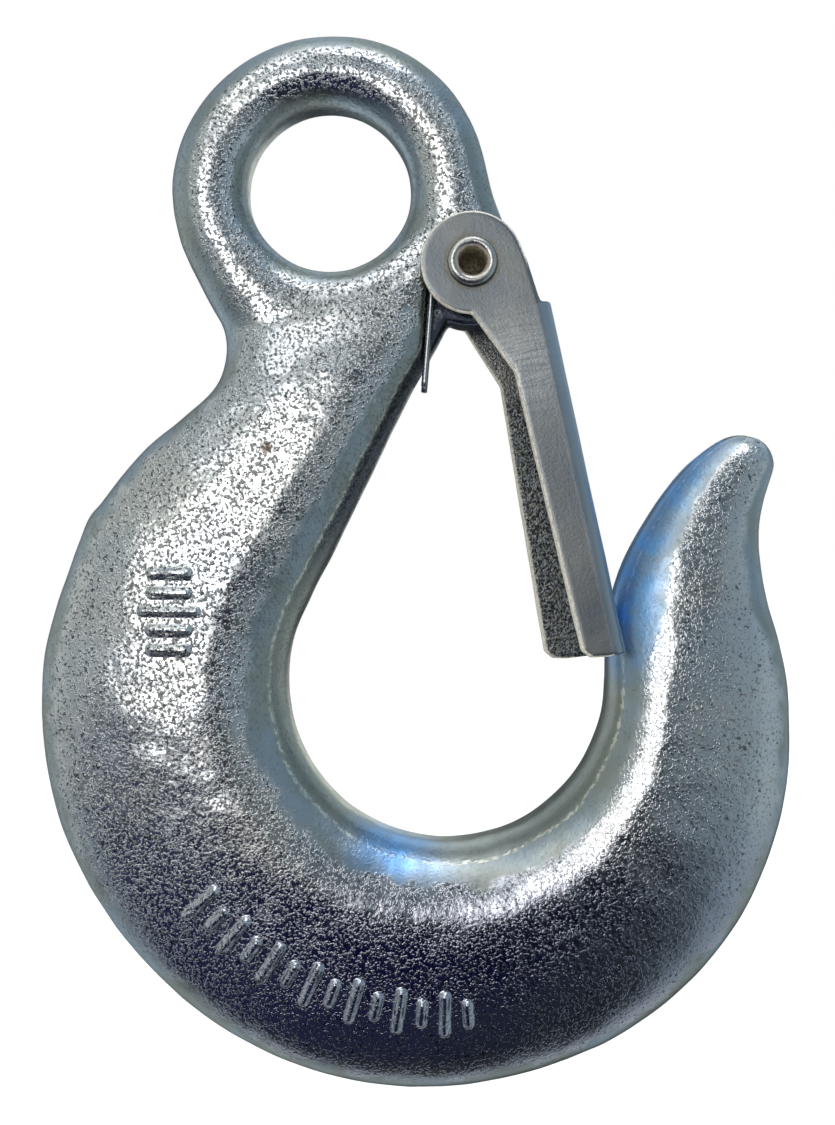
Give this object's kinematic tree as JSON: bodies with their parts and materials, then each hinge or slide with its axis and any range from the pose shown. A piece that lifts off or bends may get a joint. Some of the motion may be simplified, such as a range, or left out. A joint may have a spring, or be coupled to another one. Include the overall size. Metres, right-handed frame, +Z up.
{
  "type": "eye hook with latch",
  "caption": "Forged steel eye hook for lifting and chain rigging, with a sprung sheet-metal safety latch that pivots on a rivet and closes the throat.",
  "frame": {"origin": "crown of the eye: the top of the eye's hole on the forging's parting plane, where the load bears and the hook hangs", "axes": "+Z up the load line from the centre of the bowl to the centre of the eye, +X towards the hook's tip, +Y across the hook along the eye's hole and the latch's pivot"},
  "size_m": [0.091, 0.0156, 0.1233],
  "materials": {
    "plated_forging": "grainy zinc-plated forging",
    "plated_sheet": "satin zinc-plated sheet",
    "spring_wire": "smooth drawn wire",
    "rivet_steel": "plated rivet with a slight brown stain in its hollow"
  },
  "bodies": {
    "hook": {"hook_body": "plated_forging", "latch_spring": "spring_wire"},
    "latch": {"latch": "plated_sheet", "pivot_rivet": "rivet_steel"}
  },
  "joints": [
    {"name": "latch_pivot", "type": "hinge", "parent": "hook", "child": "latch", "pos_m": [0.0138, 0, -0.0225], "axis": [0, 1, 0], "range_deg": [0, 40], "stiffness_Nm_per_rad": 0.02, "springref_deg": -28.65, "deforming": ["latch_spring"]}
  ]
}
